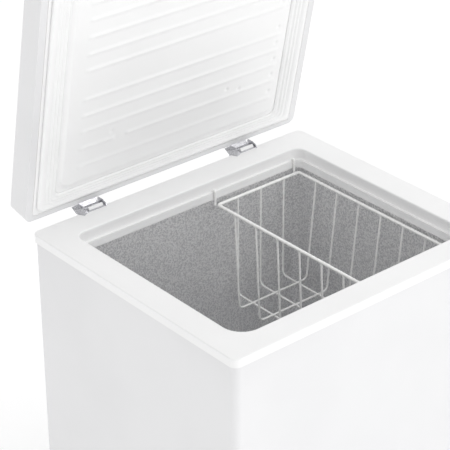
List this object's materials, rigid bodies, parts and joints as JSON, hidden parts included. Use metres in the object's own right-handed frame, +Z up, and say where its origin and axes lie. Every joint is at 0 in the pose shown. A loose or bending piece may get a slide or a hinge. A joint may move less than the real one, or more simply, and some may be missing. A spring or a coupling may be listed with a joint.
{
  "type": "chest freezer",
  "caption": "Small top-opening chest freezer standing open: insulated white cabinet with an embossed metal liner, sprung hinged lid with a ribbed liner, and a hanging wire basket.",
  "frame": {"origin": "on the floor under the middle of the whole object with its lid open", "axes": "+Z up, +X towards the basket side (right, seen from the front), -Y towards the front"},
  "size_m": [0.574, 0.551, 1.2975],
  "materials": {
    "white_paint": "gloss",
    "zinc_sheet": "satin",
    "embossed_aluminium": "satin",
    "white_abs": "satin",
    "white_hips": "satin",
    "pu_foam": "matte",
    "aluminium_pipe": "satin",
    "steel_pipe": "satin",
    "copper_pipe": "satin",
    "black_enamel": "satin",
    "black_rubber": "matte",
    "white_vinyl": "satin",
    "grey_nylon": "matte",
    "black_plastic": "matte",
    "lens_tint": "gloss",
    "bright_zinc": "satin",
    "spring_steel": "satin",
    "coated_wire": "gloss"
  },
  "bodies": {
    "cabinet": {"outer_shell": "white_paint", "back_panel": "zinc_sheet", "rear_cover": "zinc_sheet", "rear_cover_screws": "bright_zinc", "base_plate": "zinc_sheet", "feet": "black_plastic", "compartment_wall": "zinc_sheet", "liner_walls": "embossed_aluminium", "liner_floor": "embossed_aluminium", "top_frame": "white_abs", "cabinet_foam": "pu_foam", "evaporator_coil": "aluminium_pipe", "condenser_coil": "steel_pipe", "drain_pipe": "white_abs", "compressor": "black_enamel", "compressor_grommets": "black_rubber", "compressor_bolts": "bright_zinc", "relay_cover": "black_plastic", "filter_drier": "copper_pipe", "refrigerant_lines": "copper_pipe", "capillary_tube": "copper_pipe", "control_panel": "white_abs", "indicator_lenses": "lens_tint", "thermostat": "grey_nylon", "vent_grille": "white_abs", "cord_inlet": "black_rubber", "hinge_bracket_screws": "bright_zinc", "hinge_bracket_left": "bright_zinc", "hinge_pad_left": "white_abs", "hinge_pin_left": "bright_zinc", "hinge_spring_left": "spring_steel", "spring_rider_left": "grey_nylon", "hinge_bracket_right": "bright_zinc", "hinge_pad_right": "white_abs", "hinge_pin_right": "bright_zinc", "hinge_spring_right": "spring_steel", "spring_rider_right": "grey_nylon"},
    "lid": {"lid_shell": "white_paint", "lid_liner": "white_hips", "lid_foam": "pu_foam", "lid_gasket": "white_vinyl", "lid_handle": "white_abs", "hinge_leaf_left": "bright_zinc", "hinge_leaf_right": "bright_zinc", "hinge_leaf_screws": "bright_zinc"},
    "basket": {"basket_rail": "coated_wire", "basket_cross_wires": "coated_wire", "basket_long_wires": "coated_wire", "basket_hooks": "coated_wire"},
    "knob": {"thermostat_knob": "white_abs"},
    "drain_cap": {"drain_cap": "white_abs"},
    "drain_plug": {"drain_plug": "black_rubber"}
  },
  "joints": [
    {"name": "lid_hinge", "type": "hinge", "parent": "cabinet", "child": "lid", "pos_m": [0, 0.22604, 0.7921], "axis": [1, 0, 0], "range_deg": [0, 78.7]},
    {"name": "basket_slide", "type": "slide", "parent": "cabinet", "child": "basket", "axis": [1, 0, 0], "range_m": [-0.25, 0]},
    {"name": "thermostat_turn", "type": "hinge", "parent": "cabinet", "child": "knob", "pos_m": [0.225, -0.26546, 0.087], "axis": [0, -1, 0], "range_deg": [0, 270]},
    {"name": "drain_cap_turn", "type": "hinge", "parent": "cabinet", "child": "drain_cap", "pos_m": [-0.191, -0.27246, 0.062], "axis": [0, -1, 0], "range_deg": [0, 90]},
    {"name": "drain_plug_lift", "type": "slide", "parent": "cabinet", "child": "drain_plug", "axis": [0, 0, 1], "range_m": [0, 0.03]}
  ]
}
